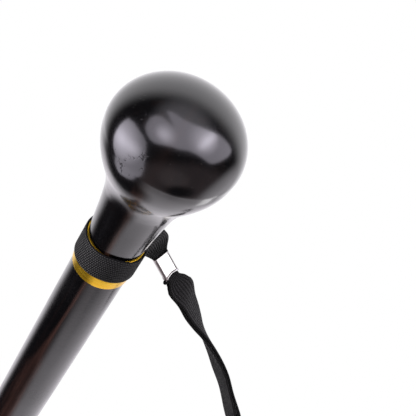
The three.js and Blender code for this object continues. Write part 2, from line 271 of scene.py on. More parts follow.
# What gloss sees around the stick: patches of a plain colour with soft edges, in degrees
openColour = (1.04, 1.02, 1.06)
surroundings = [
    dict(heading=8, height=11, inside=106, outside=135, colour=(0.018, 0.016, 0.02)),
    dict(heading=40, height=-28, inside=49, outside=69, colour=(0.2, 0.16, 0.17)),
    dict(heading=104, height=-25, inside=6, outside=31, colour=(1.0, 0.96, 1.02)),
    dict(heading=95, height=-87, inside=31, outside=46, colour=(1.1, 1.05, 1.12)),
    dict(heading=25, height=-4, inside=4, outside=28, colour=(0.34, 0.285, 0.3)),
    dict(heading=44, height=-32, inside=7, outside=23, colour=(0.03, 0.028, 0.033)),
    dict(heading=-58, height=-62, inside=19, outside=36, colour=(0.02, 0.018, 0.022)),
    dict(heading=-25, height=90, inside=4, outside=46, colour=(0.76, 0.73, 0.8)),
]
worldLevels = dict(background=1.0, fill=0.5)
white = (1, 1, 1, 1)


def setWorld():
    world = bpy.data.worlds.new("studio")
    scene.world = world
    world.use_nodes = True
    tree = world.node_tree
    tree.nodes.clear()
    direction = addNode(tree, "TexCoord").outputs["Generated"]
    colour = openColour
    for patch in surroundings:
        facing = measureNode("DOT_PRODUCT", direction, lineOf(patch["heading"], patch["height"]))
        share = rangeNode(facing, cos(radians(patch["outside"])), cos(radians(patch["inside"])))
        colour = mixColours(colour, (share, patch["colour"]))
    path = addNode(tree, "LightPath").outputs
    shiny = mathNode("MAXIMUM", path["Is Glossy Ray"], path["Is Transmission Ray"])
    fill = addNode(tree, "Background", {"Color": white, "Strength": worldLevels["fill"]})
    around = addNode(tree, "Background", {"Color": colour, "Strength": 1.0})
    plain = addNode(tree, "Background", {"Color": white, "Strength": worldLevels["background"]})
    lighting = mixShaders(shiny, fill, around)
    seen = mixShaders(path["Is Camera Ray"], lighting, plain)
    addNode(tree, "OutputWorld", {"Surface": seen.outputs[0]})


# The floor keeps the shadow near the foot and fades to white around it
floorLook = dict(size=12, tone=0.9, shadowReach=0.16, fadeReach=0.5)


def setFloor():
    mesh = bmesh.new()
    bmesh.ops.create_grid(mesh, x_segments=1, y_segments=1, size=floorLook["size"])
    material, tree = emptyMaterial("paleFloor")
    reach = measureNode("LENGTH", addNode(tree, "TexCoord").outputs["Object"])
    fade = rangeNode(reach, floorLook["shadowReach"], floorLook["fadeReach"])
    tone = floorLook["tone"]
    matte = addNode(tree, "BsdfDiffuse", {"Color": (tone, tone, tone, 1)})
    glow = addNode(tree, "Emission", {"Color": white, "Strength": 1 - tone * worldLevels["fill"]})
    lifted = addNode(tree, "AddShader", {0: matte.outputs[0], 1: glow.outputs[0]})
    seen = mixShaders(fade, lifted, addNode(tree, "Emission", {"Color": white, "Strength": 1.0}))
    path = addNode(tree, "LightPath").outputs
    both = mixShaders(path["Is Camera Ray"], matte, seen)
    addNode(tree, "OutputMaterial", {"Surface": both.outputs[0]})
    floorPlane = addObject("paleFloor", mesh, material)
    floorPlane.visible_glossy = False


setCamera()
setWorld()
setLights()
for cardName, cardLook in cards.items():
    setCard(cardName, cardLook)
setFloor()
print("camera, floor and light are set")

# Shared surface effects, each a group that gives numbers


def newGroup(name, vectors, numbers, results):
    tree = bpy.data.node_groups.new(name, "ShaderNodeTree")
    for label in vectors:
        tree.interface.new_socket(label, in_out="INPUT", socket_type="NodeSocketVector")
    for label, value in numbers.items():
        socket = tree.interface.new_socket(label, in_out="INPUT", socket_type="NodeSocketFloat")
        socket.default_value = value
    for label in results:
        tree.interface.new_socket(label, in_out="OUTPUT", socket_type="NodeSocketFloat")
    return tree, tree.nodes.new("NodeGroupInput").outputs, tree.nodes.new("NodeGroupOutput").inputs


def useGroup(group, inputs):
    return nodeAfter("Group", inputs, node_tree=group)


rippleLook = dict(waveDetail=1.5, peelDetail=2, pitSize=(0.04, 0.16), patchNoise=(90, 1),
                  patches=(0.56, 0.68))


def makeRipple():
    # Slow waves, fine peel and small pits, as left by brushing and handling
    tree, given, out = newGroup("ripple", ["Vector"], {
        "Wave Scale": 60, "Peel Scale": 900, "Pit Scale": 420, "Peel Share": 0.25, "Pit Share": 0.4,
    }, ["Height", "Pits"])
    place = given["Vector"]
    wave = noiseNode(place, given["Wave Scale"], rippleLook["waveDetail"])
    peel = noiseNode(place, given["Peel Scale"], rippleLook["peelDetail"])
    near = rangeNode(cellsNode(place, given["Pit Scale"]), *rippleLook["pitSize"], 1.0, 0.0)
    patch = rangeNode(noiseNode(place, *rippleLook["patchNoise"]), *rippleLook["patches"])
    pits = times(near, patch)
    height = timesPlus(peel, given["Peel Share"], wave)
    drop = times(pits, given["Pit Share"])
    tree.links.new(mathNode("SUBTRACT", height, drop), out["Height"])
    tree.links.new(pits, out["Pits"])
    return tree


dustLook = dict(chosenNoise=(260, 1), chosenOver=0.6, hazeNoise=(45, 4, 0.62), haze=(0.42, 0.72))


def makeDust():
    # Sparse light specks and a soft haze
    tree, given, out = newGroup("dust", ["Vector"], {
        "Speck Scale": 700, "Speck Size": 0.13,
    }, ["Specks", "Haze"])
    place = given["Vector"]
    inner = mathNode("LESS_THAN", cellsNode(place, given["Speck Scale"]), given["Speck Size"])
    chosen = mathNode("GREATER_THAN", noiseNode(place, *dustLook["chosenNoise"]), dustLook["chosenOver"])
    tree.links.new(times(inner, chosen), out["Specks"])
    tree.links.new(rangeNode(noiseNode(place, *dustLook["hazeNoise"]), *dustLook["haze"]), out["Haze"])
    return tree


creaseLook = dict(wander=(2, 0.6), line=(0.008, 0.032), brokenNoise=(330, 1), broken=(0.5, 0.58),
                  rim=0.35)


def makeCrease():
    # Thin curved creases in the coat, inside one round patch
    tree, given, out = newGroup("crease", ["Vector", "Centre"], {"Reach": 0.005, "Scale": 300}, ["Lines"])
    place = given["Vector"]
    apart = measureNode("DISTANCE", place, given["Centre"])
    inside = mathNode("SUBTRACT", 1.0, mathNode("DIVIDE", apart, given["Reach"]))
    wave = noiseNode(place, given["Scale"], *creaseLook["wander"])
    level = mathNode("ABSOLUTE", mathNode("SUBTRACT", wave, 0.5))
    line = rangeNode(level, *creaseLook["line"], 1.0, 0.0)
    broken = rangeNode(noiseNode(place, *creaseLook["brokenNoise"]), *creaseLook["broken"])
    patch = times(rangeNode(inside, 0, creaseLook["rim"]), broken)
    tree.links.new(times(line, patch), out["Lines"])
    return tree


weaveLook = dict(fuzzNoise=(9, 3, 0.6), fuzzHeight=0.35, fuzzSeeds=0.5, ribRound=0.6,
                 stitchRound=0.7, ribShift=0.5, seeds=(0.72, 1.12),
                 lintNoise=(2.2, 4, 0.7), lint=(0.62, 0.75))


def makeWeave():
    # Threads of ribbed webbing on a map in millimetres: ribs run along, stitches lie slanted across each rib
    tree, given, out = newGroup("ribWeave", ["Map"], {
        "Rib Pitch": 1.1, "Stitch Pitch": 0.85, "Slant": 0.5,
    }, ["Height", "Crown", "Seeds", "Lint"])
    look = weaveLook
    parts = partsOf(given["Map"])
    ribPlace = mathNode("DIVIDE", parts["X"], given["Rib Pitch"])
    ribShare = mathNode("FRACT", ribPlace)
    rib = mathNode("SINE", times(ribShare, pi))
    offMiddle = mathNode("ABSOLUTE", mathNode("SUBTRACT", ribShare, 0.5))
    slide = timesPlus(offMiddle, given["Slant"], times(mathNode("FLOOR", ribPlace), look["ribShift"]))
    stitchPlace = mathNode("ADD", mathNode("DIVIDE", parts["Y"], given["Stitch Pitch"]), slide)
    stitch = mathNode("SINE", times(mathNode("FRACT", stitchPlace), pi))
    fuzz = noiseNode(given["Map"], *look["fuzzNoise"])
    crown = times(mathNode("POWER", rib, look["ribRound"]), mathNode("POWER", stitch, look["stitchRound"]))
    uneven = timesPlus(fuzz, look["fuzzSeeds"], times(rib, stitch))
    # Seeds marks the stitch crowns where the webbing gets painted highlights
    tree.links.new(rangeNode(uneven, *look["seeds"]), out["Seeds"])
    tree.links.new(timesPlus(fuzz, look["fuzzHeight"], crown), out["Height"])
    tree.links.new(crown, out["Crown"])
    tree.links.new(rangeNode(noiseNode(given["Map"], *look["lintNoise"]), *look["lint"]), out["Lint"])
    return tree


rippleGroup = makeRipple()
dustGroup = makeDust()
creaseGroup = makeCrease()
weaveGroup = makeWeave()

# Materials


def newMaterial(name):
    material = bpy.data.materials.new(name)
    material.use_nodes = True
    place = addNode(material.node_tree, "TexCoord").outputs["Object"]
    return material, material.node_tree.nodes["Principled BSDF"].inputs, place


def setValues(sockets, values):
    for key, value in values.items():
        sockets[key].default_value = value


def dressSurface(surface, colour, roughness, height, depth):
    bump = nodeAfter("Bump", {"Height": height, "Strength": 1.0, "Distance": depth})[0]
    for socket, value in (("Base Color", colour), ("Roughness", roughness), ("Normal", bump)):
        linkOrSet(surface[socket], value)


# Both lacquers: black over a brown undercoat that shows in the grain; the same brown is also painted in one
# streak, a painted reflection of a brown thing beside the stick
bothCoats = dict(
    black=(0.0016, 0.0015, 0.0018), bump=0.00004, peel=0.25, peelMore=0.5, thinCoat=0.45,
    grain=0.05, grainStretch=(320, 320, 14), grainNoise=(1.0, 4, 0.6), stain=(0.46, 0.68),
    streakEdge=(0.13, 0.44), streakRagged=0.5, streakLeast=0.12,
    specks=0.1, speck=(0.3, 0.29, 0.28), creaseRough=0.5, creaseCoat=0.9, creaseDepth=1.5,
)
knobCoat = dict(
    **bothCoats, wave=70, pits=1.2, roughness=0.15, haze=0.05, coat=0.15,
    undercoatAndReflection=(0.066, 0.03, 0.021), thinning=(0.882, 0.896),
    streak=0.9, streakHeights=(0.8, 0.9), streakHeadings=(-1, -1), streakNarrowing=(1, 1),
    creases=[((0.0231, -0.0114, 0.8934), 0.0056), ((0.024, -0.0067, 0.8994), 0.004)],
)
# Its coat is thin over the whole length
shaftCoat = dict(
    **bothCoats, wave=55, pits=0.6, roughness=0.18, haze=0.1, coat=0.18,
    undercoatAndReflection=(0.11, 0.047, 0.037), thinning=(2.0, 2.1),
    streak=0.75, streakHeights=(0.745, 0.81), streakHeadings=(-15, -7),
    streakNarrowing=(0.35, 1.9), creases=[],
)


def makeLacquer(name, look):
    material, surface, place = newMaterial(name)
    parts = partsOf(place)
    # Below these heights the coat is thinner, over coarser wood
    lower = rangeNode(parts["Z"], *look["thinning"], 1.0, 0.0)
    peel = timesPlus(lower, look["peelMore"], look["peel"])
    ripple = useGroup(rippleGroup, {
        "Vector": place, "Wave Scale": look["wave"], "Pit Share": look["pits"], "Peel Share": peel})
    dust = useGroup(dustGroup, {"Vector": place})
    creases = 0.0
    for centre, reach in look["creases"]:
        patch = {"Vector": place, "Centre": centre, "Reach": reach}
        creases = mathNode("MAXIMUM", creases, useGroup(creaseGroup, patch)["Lines"])
    grain = noiseNode(stretched(place, look["grainStretch"]), *look["grainNoise"])
    turn = mathNode("ARCTAN2", parts["Y"], parts["X"])
    # The streak of painted reflection leans and widens between two heights
    lean = [radians(heading) for heading in look["streakHeadings"]]
    middle = rangeNode(parts["Z"], *look["streakHeights"], *lean)
    away = mathNode("ABSOLUTE", mathNode("SUBTRACT", turn, middle))
    narrow = rangeNode(parts["Z"], *look["streakHeights"], *look["streakNarrowing"])
    ragged = timesPlus(grain, look["streakRagged"], times(away, narrow))
    streak = rangeNode(ragged, *look["streakEdge"], 1.0, 0.0)
    # Painted reflection: this share lays the brown streak on the black, stronger where the coat is thinner
    paintedLight = times(streak, timesPlus(lower, look["streak"], look["streakLeast"]))
    brown = timesPlus(rangeNode(grain, *look["stain"]), look["grain"], paintedLight)
    specks = times(dust["Specks"], look["specks"])
    colour = mixColours(look["black"], (brown, look["undercoatAndReflection"]), (specks, look["speck"]))
    rough = timesPlus(dust["Haze"], look["haze"], look["roughness"])
    rough = timesPlus(creases, look["creaseRough"], rough)
    height = timesPlus(creases, -look["creaseDepth"], ripple["Height"])
    dressSurface(surface, colour, rough, height, look["bump"])
    coat = timesPlus(lower, -look["thinCoat"], 1.0)
    coat = timesPlus(creases, -look["creaseCoat"], coat)
    linkOrSet(surface["Coat Weight"], coat)
    setValues(surface, {"IOR": 1.5, "Coat Roughness": look["coat"], "Coat IOR": 1.5})
    return material


goldLook = dict(
    dull=(0.98, 0.5, 0.014), bright=(1.0, 0.69, 0.05), pit=(0.25, 0.13, 0.03), pitShare=0.5,
    stretch=(18, 18, 2600), noise=(1.0, 3, 0.6), bands=(0.3, 0.7), rough=(0.25, 0.75, 0.17, 0.3),
    bandHeight=0.3, wave=210, pits=0.6, bump=0.00006, metallic=0.8,
)


def makeGold():
    # Fine bands round the ring, left by the lathe
    look = goldLook
    material, surface, place = newMaterial("brushedGold")
    bands = noiseNode(stretched(place, look["stretch"]), *look["noise"])
    ripple = useGroup(rippleGroup, {"Vector": place, "Wave Scale": look["wave"], "Pit Share": look["pits"]})
    colour = mixColours(look["dull"], (rangeNode(bands, *look["bands"]), look["bright"]),
                        (times(ripple["Pits"], look["pitShare"]), look["pit"]))
    height = timesPlus(bands, look["bandHeight"], ripple["Height"])
    dressSurface(surface, colour, rangeNode(bands, *look["rough"]), height, look["bump"])
    setValues(surface, {"Metallic": look["metallic"]})
    return material


chromeLook = dict(
    clean=(0.93, 0.92, 0.92), hazed=(0.86, 0.84, 0.83), sideColour=(0.19, 0.15, 0.14),
    stretch=(900, 900, 120), noise=(1.0, 4, 0.65), rough=(0.3, 0.75, 0.1, 0.24), bump=0.00003,
)


def makeChrome():
    look = chromeLook
    material, surface, place = newMaterial("brightChrome")
    scratch = noiseNode(stretched(place, look["stretch"]), *look["noise"])
    dust = useGroup(dustGroup, {"Vector": place})
    # The clip's side walls are coloured dark brown through this attribute
    darkSides = addNode(material.node_tree, "Attribute", attribute_name="darkSides").outputs["Fac"]
    colour = mixColours(look["clean"], (dust["Haze"], look["hazed"]), (darkSides, look["sideColour"]))
    dressSurface(surface, colour, rangeNode(scratch, *look["rough"]), scratch, look["bump"])
    setValues(surface, {"Metallic": 1.0})
    return material


steelLook = dict(dark=(0.42, 0.42, 0.43), light=(0.6, 0.6, 0.61), stretch=(60, 60, 3000),
                 noise=(1.0, 3, 0.6), rough=(0.3, 0.7, 0.28, 0.45))


def makeSteel():
    look = steelLook
    material, surface, place = newMaterial("plainSteel")
    turned = noiseNode(stretched(place, look["stretch"]), *look["noise"])
    linkOrSet(surface["Base Color"], mixColours(look["dark"], (turned, look["light"])))
    linkOrSet(surface["Roughness"], rangeNode(turned, *look["rough"]))
    setValues(surface, {"Metallic": 1.0})
    return material


rubberLook = dict(
    clean=(0.031, 0.031, 0.033), hazed=(0.046, 0.046, 0.048), scuffed=(0.11, 0.105, 0.1),
    speck=(0.2, 0.19, 0.18), specks=0.5, speckScale=520, speckSize=0.16, scuffHeight=0.009,
    wave=120, peel=0.6, pits=0.5, rough=(0.55, 0.78), bump=0.00025,
)


def makeRubber():
    look = rubberLook
    material, surface, place = newMaterial("mattRubber")
    ripple = useGroup(rippleGroup, {
        "Vector": place, "Wave Scale": look["wave"], "Peel Share": look["peel"], "Pit Share": look["pits"]})
    dust = useGroup(dustGroup, {
        "Vector": place, "Speck Scale": look["speckScale"], "Speck Size": look["speckSize"]})
    low = rangeNode(partsOf(place)["Z"], 0, look["scuffHeight"], 1.0, 0.0)
    specks = times(dust["Specks"], look["specks"])
    colour = mixColours(look["clean"], (dust["Haze"], look["hazed"]),
                        (times(low, dust["Haze"]), look["scuffed"]), (specks, look["speck"]))
    rough = rangeNode(dust["Haze"], 0, 1, *look["rough"])
    dressSurface(surface, colour, rough, ripple["Height"], look["bump"])
    setValues(surface, {"IOR": 1.5})
    return material


# The two tapes in millimetres: ribs and stitches are in the mesh, finer threads in the material
# In both tapes deep is painted shade in the hollows between threads and at the edges, and seed is painted
# highlight on the stitch crowns
bandTape = dict(
    stride=0.25, around=130, ribs=12, ribPitch=1.0, ribDepth=0.16, pleatDepth=0.4,
    stitchPitch=0.88, stitchDepth=0.1, slant=0.3, bump=0.0003, sheen=0.05, seeds=1.0,
    litSide=(-0.009, 0.006), deep=(0.002, 0.002, 0.0024), thread=(0.005, 0.0047, 0.0056),
    seed=(0.19, 0.185, 0.187), lint=(0.03, 0.028, 0.03),
)
loopTape = dict(
    stride=0.45, around=120, ribs=8, ribPitch=1.3, ribDepth=0.2, pleatDepth=0.32,
    stitchPitch=0.8, stitchDepth=0.0, slant=0.8, bump=0.00016, sheen=0.1, seeds=0.3,
    litSide=(0.5, 0.6), deep=(0.003, 0.0028, 0.0032), thread=(0.02, 0.018, 0.02),
    seed=(0.05, 0.046, 0.05), lint=(0.045, 0.04, 0.042),
)
bothTapes = dict(unlitShare=0.2, lintShare=0.3, rough=(0.8, 0.52), sheenRough=0.4, ior=1.27)


def makeWebbing(name, tape):
    material, surface, place = newMaterial(name)
    flatMap = addNode(material.node_tree, "TexCoord").outputs["UV"]
    weave = useGroup(weaveGroup, {
        "Map": stretched(flatMap, (1 / mm, 1 / mm, 0)),
        "Rib Pitch": tape["ribPitch"], "Stitch Pitch": tape["stitchPitch"], "Slant": tape["slant"]})
    # Painted highlights: the pale seeds on the stitch crowns are full on the side towards the left light and
    # fade to a share on the far side
    seeds = tape["seeds"]
    paintedLight = rangeNode(partsOf(place)["Y"], *tape["litSide"], seeds, seeds * bothTapes["unlitShare"])
    lint = times(weave["Lint"], bothTapes["lintShare"])
    # Painted shade in the hollows and at the edges (deep), painted highlights on the crowns (seed); the lint
    # is real
    colour = mixColours(tape["deep"], (weave["Crown"], tape["thread"]),
                        (times(weave["Seeds"], paintedLight), tape["seed"]), (lint, tape["lint"]))
    rough = rangeNode(weave["Crown"], 0, 1, *bothTapes["rough"])
    dressSurface(surface, colour, rough, weave["Height"], tape["bump"])
    setValues(surface, {"Sheen Weight": tape["sheen"], "Sheen Roughness": bothTapes["sheenRough"],
                        "IOR": bothTapes["ior"]})
    return material


knobLacquer = makeLacquer("knobLacquer", knobCoat)
shaftLacquer = makeLacquer("shaftLacquer", shaftCoat)
gold = makeGold()
chrome = makeChrome()
steel = makeSteel()
rubber = makeRubber()
bandWeave = makeWebbing("bandWeave", bandTape)
loopWeave = makeWebbing("loopWeave", loopTape)
print("materials are ready")

# Turned pieces

# A fillet takes at most this share of a side, and points closer than this many metres are one
filletShare = 0.49
samePoint = 0.000002


def finishPiece(name, mesh, material, body, replaced, sharp=38):
    # Edges that turn by more than sharp degrees stay crisp
    for face in mesh.faces:
        face.smooth = True
    for edge in mesh.edges:
        if len(edge.link_faces) == 2 and edge.calc_face_angle(0) > radians(sharp):
            edge.smooth = False
    piece = addObject(name, mesh, material)
    if body:
        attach(piece, body)
    if replaced:
        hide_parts(replaced)
    return piece


def roundedLine(corners, steps=5):
    # Outline of (radius, height, fillet) corners, each fillet drawn as a short curve
    line = []
    for place, (radius, height, fillet) in enumerate(corners):
        corner = Vector((radius, height))
        if not fillet or place in (0, len(corners) - 1):
            line.append(corner)
            continue
        before = Vector(corners[place - 1][:2]) - corner
        after = Vector(corners[place + 1][:2]) - corner
        start = corner + before.normalized() * min(fillet, before.length * filletShare)
        end = corner + after.normalized() * min(fillet, after.length * filletShare)
        for step in range(steps + 1):
            share = step / steps
            line.append(start * (1 - share) ** 2 + corner * 2 * share * (1 - share) + end * share ** 2)
    return line


def turnLine(line, steps):
    mesh = bmesh.new()
    points = [mesh.verts.new((place.x, 0, place.y)) for place in line]
    edges = [mesh.edges.new(pair) for pair in zip(points, points[1:])]
    bmesh.ops.spin(mesh, geom=points + edges, axis=upright, cent=(0, 0, 0), angle=2 * pi, steps=steps,
                   use_merge=True)
    bmesh.ops.remove_doubles(mesh, verts=mesh.verts, dist=samePoint)
    bmesh.ops.recalc_face_normals(mesh, faces=mesh.faces)
    return mesh


def curveThrough(points, steps):
    # Smooth curve through the points, the same number of steps between each two
    line = []
    last = len(points) - 1
    for place in range(last):
        before, start, end, after = (Vector(points[min(max(place + shift, 0), last)])
                                     for shift in (-1, 0, 1, 2))
        for step in range(steps):
            t = step / steps
            line.append(0.5 * (2 * start + (end - before) * t
                               + (2 * before - 5 * start + 4 * end - after) * t * t
                               + (3 * start - before - 3 * end + after) * t ** 3))
    line.append(Vector(points[last]))
    return line


# Room round the stud in its drilled hole, and how far the drill's tip goes past its ends
drilled = dict(side=0.0003, knobEnd=0.0003, shaftEnd=0.0002, tip=0.002)
drilledRadius = studHigh.x + drilled["side"]

knobShape = dict(
    crownHeight=0.021, crownSteps=26, neckSteps=5, around=144, neckRadius=0.0115,
    footHeight=0.001, footRound=0.0004,
    # Shares of the depth below the widest line and of the swell over the neck
    neck=[(0, 1), (0.08, 0.97), (0.153, 0.895), (0.22, 0.785), (0.288, 0.645), (0.355, 0.49), (0.424, 0.36),
          (0.49, 0.265), (0.559, 0.198), (0.695, 0.122), (0.831, 0.066), (0.93, 0.028), (1, 0)],
)


def makeKnob():
    top, foot, widest = knobHigh.z, knobLow.z, knobHigh.x
    shape = knobShape
    neckRadius = shape["neckRadius"]
    middle = top - shape["crownHeight"]
    line = []
    for step in range(shape["crownSteps"]):
        angle = step / shape["crownSteps"] * pi / 2
        line.append(Vector((widest * sin(angle), middle + shape["crownHeight"] * cos(angle))))
    neck = [(neckRadius + (widest - neckRadius) * swell, middle - (middle - foot) * depth)
            for depth, swell in shape["neck"]]
    line += curveThrough(neck, shape["neckSteps"])[:-1]
    line += roundedLine([
        (neckRadius, foot + shape["footHeight"], 0), (neckRadius, foot, shape["footRound"]),
        (drilledRadius, foot, 0), (drilledRadius, studHigh.z + drilled["knobEnd"], 0),
        (0, studHigh.z + drilled["tip"], 0),
    ])
    finishPiece("turned_knob", turnLine(line, shape["around"]), knobLacquer, "stick",
                "knob_handle")


collarShape = dict(wall=0.00065, round=0.00035, around=144)


def makeCollar():
    outer, top, foot = collarHigh.x, collarHigh.z, collarLow.z
    inner = outer - collarShape["wall"]
    ceiling = top - collarShape["wall"]
    line = roundedLine([
        (inner, foot, 0), (outer, foot, collarShape["round"]), (outer, top, collarShape["round"]),
        (drilledRadius, top, 0), (drilledRadius, ceiling, 0), (inner, ceiling, 0), (inner, foot, 0),
    ])
    finishPiece("gold_ring", turnLine(line, collarShape["around"]), gold, "stick", "gold_collar")


# The foot is seen through the ferrule's mouth when that is pulled off
shaftShape = dict(footRadius=0.0084, footInset=0.00112, footRound=0.0008, lengthSteps=70,
                  around=120, gap=0.0002, sharp=25)


def makeShaft():
    shape = shaftShape
    foot, shoulder, footRadius = shaftLow.z, collarLow.z - shape["gap"], shape["footRadius"]
    taper = (shaftHigh.x - footRadius) / (collarLow.z - ferruleHigh.z)
    line = [Vector((0, foot)), Vector((footRadius - shape["footInset"], foot))]
    for step in range(shape["lengthSteps"] + 1):
        rise = (shoulder - foot - shape["footRound"]) * step / shape["lengthSteps"]
        height = foot + shape["footRound"] + rise
        line.append(Vector((footRadius + taper * (height - ferruleHigh.z), height)))
    spigot = collarHigh.x - collarShape["wall"] - shape["gap"]
    line += [Vector(pair) for pair in (
        (spigot, shoulder), (spigot, shaftHigh.z), (drilledRadius, shaftHigh.z),
        (drilledRadius, studLow.z - drilled["shaftEnd"]), (0, studLow.z - drilled["tip"]),
    )]
    finishPiece("lacquered_shaft", turnLine(line, shape["around"]), shaftLacquer, "stick",
                "shaft", shape["sharp"])


# Heights, radii and fillets in millimetres, as the solid has them
ferruleShape = dict(
    rim=11.9, rimHeight=4.6, rimRound=1.2, rimFootRound=0.5,
    grooveDepth=0.9, grooveHeight=1.6, grooveSlope=0.4, grooveRound=0.3,
    skirt=11.5, skirtSteps=9, skirtRound=0.35,
    flange=15, flangeHeight=10.2, flangeThickness=1.8, flangeRound=0.8, flangeSlope=(0.05, 0.1),
    base=12.8, baseHeight=6.4, baseRound=0.5, baseGroove=1, baseSlope=0.5, baseGrooveRound=0.4,
    tread=12.2, treadDepth=1.2, treadRound=0.6, treadPitch=2.9, treadRings=3,
    treadGroove=1.3, treadSlope=0.15, treadEdgeRound=0.25, treadFloorRound=0.2,
    bore=8.7, boreRound=0.9, sole=9, soleSlope=0.3, soleSlopeHeight=1.8, around=144,
)


def makeFerrule():
    shape = ferruleShape
    top = ferruleHigh.z / mm
    grooveTop = top - shape["rimHeight"]
    grooveFoot = grooveTop - shape["grooveHeight"]
    flangeFoot = shape["flangeHeight"] - shape["flangeThickness"] / 2
    flangeTop = shape["flangeHeight"] + shape["flangeThickness"] / 2
    corners = [(0, 0, 0)]
    for ring in range(shape["treadRings"]):
        inner = shape["treadPitch"] * (ring + 1)
        outer = inner + shape["treadGroove"]
        corners += [
            (inner, 0, shape["treadEdgeRound"]),
            (inner + shape["treadSlope"], shape["treadDepth"], shape["treadFloorRound"]),
            (outer - shape["treadSlope"], shape["treadDepth"], shape["treadFloorRound"]),
            (outer, 0, shape["treadEdgeRound"]),
        ]
    base, baseNeck = shape["base"], shape["base"] - shape["baseGroove"]
    flange, flangeRound = shape["flange"], shape["flangeRound"]
    corners += [
        (shape["tread"], 0, shape["treadRound"]), (base, shape["treadDepth"], shape["baseRound"]),
        (base, shape["baseHeight"] - shape["baseSlope"], shape["baseRound"]),
        (baseNeck, shape["baseHeight"] + shape["baseSlope"], shape["baseGrooveRound"]),
        (baseNeck, flangeFoot, shape["baseGrooveRound"]),
        (flange, flangeFoot + shape["flangeSlope"][0], flangeRound),
        (flange, flangeTop - shape["flangeSlope"][1], flangeRound),
    ]
    skirt = shape["skirt"]
    spread = flange - shape["flangeThickness"] / 2 - skirt
    for step in range(shape["skirtSteps"]):
        share = step / shape["skirtSteps"]
        corners.append((skirt + spread * (1 - share) ** 2, flangeTop + (grooveFoot - flangeTop) * share,
                        flangeRound if step == 0 else 0))
    neck = skirt - shape["grooveDepth"]
    bore, sole = shape["bore"], shape["sole"]
    corners += [
        (skirt, grooveFoot, shape["skirtRound"]),
        (neck, grooveFoot + shape["grooveSlope"], shape["grooveRound"]),
        (neck, grooveTop - shape["grooveSlope"], shape["grooveRound"]),
        (shape["rim"], grooveTop, shape["rimFootRound"]), (shape["rim"], top, shape["rimRound"]),
        (bore, top, shape["boreRound"]), (bore, sole + shape["soleSlopeHeight"], 0),
        (bore - shape["soleSlope"], sole, 0), (0, sole, 0),
    ]
    line = roundedLine([(radius * mm, height * mm, fillet * mm) for radius, height, fillet in corners])
    finishPiece("rubber_foot", turnLine(line, shape["around"]), rubber, "ferrule", "rubber_ferrule")


makeKnob()
makeCollar()
makeShaft()
makeFerrule()
for nodeName in ("joining_stud", "ferrule_washer"):
    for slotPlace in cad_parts[nodeName].material_slots:
        slotPlace.material = steel
print("knob, collar, shaft and ferrule are turned")

# Wrist strap, in millimetres until it is finished, with turns and slopes in degrees

strap = dict(
    tapeGap=0.2, heading=97, slope=43, pivot=1.9,
    bandTape=0.75, bandHeight=13, bandDrop=0.2, bandGap=0.12, ringSteps=48,
    tailTurn=138, tailSplit=28, tailReach=13.5, tailRise=0.6, tailBend=0.42, tailSteps=12,
    splitBend=0.38, splitSteps=8, gatheredWidth=5, gatheredTape=1.05, gathering=(0.64, 1.2),
    tailPleats=(0.3, 1), tailEnds=(6.5, 1.6),
    crimpOut=18.95, crimpAside=21.2, crimpDrop=12, crimpLength=11.5, crimpTurn=-42,
    crimpTuck=0.75, crimpTuckLine=(-90, 15),
    loopTape=1.1, loopWidth=10.8, loopLength=158, loopOpening=15, loopGathered=5.7,
    loopEnds=(5, 3, 1), loopSteps=60, turnSteps=16, lineSteps=200, loopPleats=(0, 0.12),
    bulge=1.0, bulgeAt=0.055, bulgeSpread=0.045,
)
# How the band's edges sit askew round the collar: millimetres up or down, and the heading of each peak.
# In front the upper edge is pushed up over the gold
bandEdges = dict(
    upper=0.35, upperTilt=0.6, upperAt=-10, push=1.3, pushAt=20, pushSpread=25,
    lower=-0.2, lowerTilt=0.8, lowerAt=10, lowerWave=0.35, lowerWaveAt=8,
)
# Share of the loop's length, then a share of its width, its slope, a share of its opening and its turn
widthShares = [(0, 0.56), (0.012, 0.84), (0.034, 1.1), (0.06, 1.07), (0.09, 0.99), (0.12, 0.98),
               (0.24, 0.92), (0.4, 1)]
slopeShares = [(0, 43), (0.24, 45), (0.42, 53), (0.64, 57), (1, 88)]
openingShares = [(0, 0), (0.06, 0.05), (0.11, 0.06), (0.24, 0.01), (0.45, 0.01), (0.62, 0.12),
                 (0.74, 0.56), (0.84, 0.94), (0.9, 1), (1, 1)]
turnShares = [(0, -42), (0.03, -40), (0.08, -14), (0.137, -2), (0.18, 13), (0.217, 28), (0.255, 37),
              (0.33, 47), (0.38, 50), (0.45, 45), (0.6, 42), (0.85, 0), (1, 0)]


def easeBetween(value, low, high):
    share = min(max((value - low) / (high - low), 0), 1)
    return share * share * (3 - 2 * share)


def readTable(table, share):
    if share >= table[-1][0]:
        return table[-1][1]
    row = 0
    while table[row + 1][0] < share:
        row += 1
    (low, start), (high, end) = table[row], table[row + 1]
    return start + (end - start) * easeBetween(share, low, high)


def readSmooth(table, share):
    # Smooth curve through a table's rows
    last = len(table) - 1
    row = 0
    while row < last - 1 and table[row + 1][0] < share:
        row += 1
    (low, start), (high, end) = table[row], table[row + 1]
    before, after = table[max(row - 1, 0)], table[min(row + 2, last)]
    span = high - low
    rise = (end - before[1]) / (high - before[0]) * span
    fall = (after[1] - start) / (after[0] - low) * span
    t = min(max((share - low) / span, 0), 1)
    return (start * (1 + 2 * t) * (1 - t) ** 2 + rise * t * (1 - t) ** 2
            + end * t * t * (3 - 2 * t) - fall * t * t * (1 - t))


sideLine = lineOf(strap["heading"], 0).cross(upright)


def strapDirection(slope):
    return lineOf(strap["heading"], -slope)


def widthDirection(along, turn):
    rise = sideLine.cross(along).normalized()
    return sideLine * cos(radians(turn)) + rise * sin(radians(turn))


